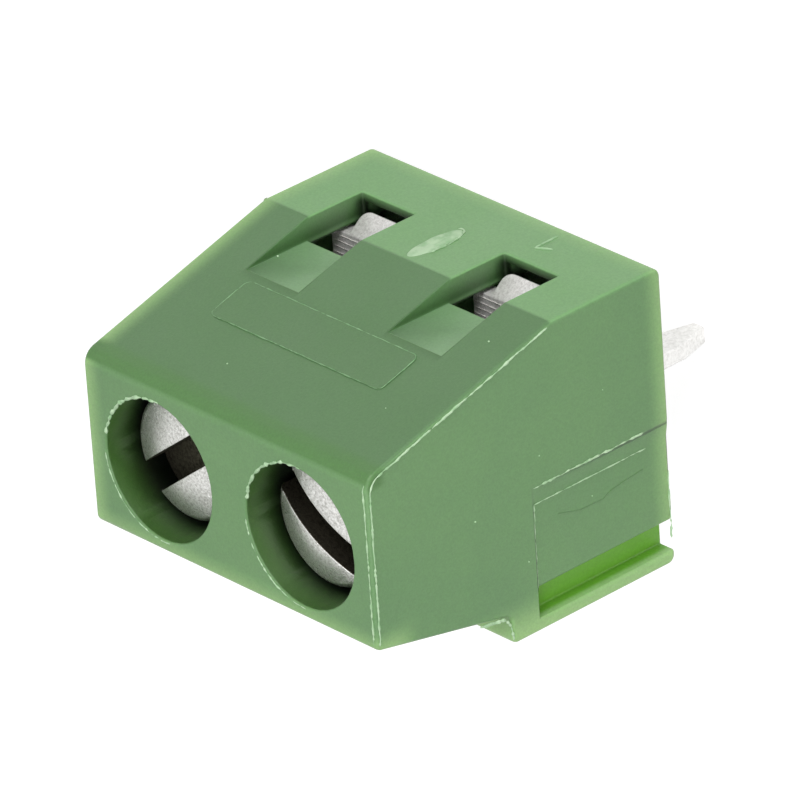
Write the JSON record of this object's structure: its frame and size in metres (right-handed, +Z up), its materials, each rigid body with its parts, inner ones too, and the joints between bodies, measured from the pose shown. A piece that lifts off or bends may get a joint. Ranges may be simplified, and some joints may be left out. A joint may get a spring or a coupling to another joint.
{
  "type": "pcb screw terminal",
  "caption": "Green screw terminal block for a printed circuit board, with wire entries under a leaning face, slotted clamp screws, tension sleeves and solder pins.",
  "frame": {"origin": "on the board's surface, midway between the centre lines of the two solder pins", "axes": "+Z up out of the board towards the screw heads, -Y towards the wire entries, +X from the left pole to the right pole as seen from the wire side"},
  "size_m": [0.0106, 0.0082, 0.0135],
  "materials": {
    "green_polyamide": "moulded green polyamide, satin with spark-eroded fields, slightly translucent",
    "zinc_plated_steel": "zinc plated, grainy crown, bright where worn",
    "nickel_plated_sleeve": "plated, serrated clamping floor, smooth lip",
    "tinned_copper_alloy": "tin plated, matt silver"
  },
  "bodies": {
    "block": {"housing": "green_polyamide", "contact_left": "tinned_copper_alloy", "contact_right": "tinned_copper_alloy"},
    "screw_left": {"clamp_screw_left": "zinc_plated_steel"},
    "screw_right": {"clamp_screw_right": "zinc_plated_steel"},
    "sleeve_left": {"tension_sleeve_left": "nickel_plated_sleeve"},
    "sleeve_right": {"tension_sleeve_right": "nickel_plated_sleeve"}
  },
  "joints": [
    {"name": "screw_left_turn", "type": "hinge", "parent": "block", "child": "screw_left", "pos_m": [-0.00254, 0.0001, 0.0085], "axis": [0, 0, 1], "range_deg": [-880, 560]},
    {"name": "screw_right_turn", "type": "hinge", "parent": "block", "child": "screw_right", "pos_m": [0.00254, 0.0001, 0.0085], "axis": [0, 0, 1], "range_deg": [-880, 560]},
    {"name": "sleeve_left_slide", "type": "slide", "parent": "block", "child": "sleeve_left", "axis": [0, 0, 1], "range_m": [-0.0007, 0.0011]},
    {"name": "sleeve_right_slide", "type": "slide", "parent": "block", "child": "sleeve_right", "axis": [0, 0, 1], "range_m": [-0.0007, 0.0011]}
  ],
  "couplings": [
    {"joint": "screw_left_turn", "follows": "sleeve_left_slide", "rad_per_m": -13963},
    {"joint": "screw_right_turn", "follows": "sleeve_right_slide", "rad_per_m": -13963}
  ]
}
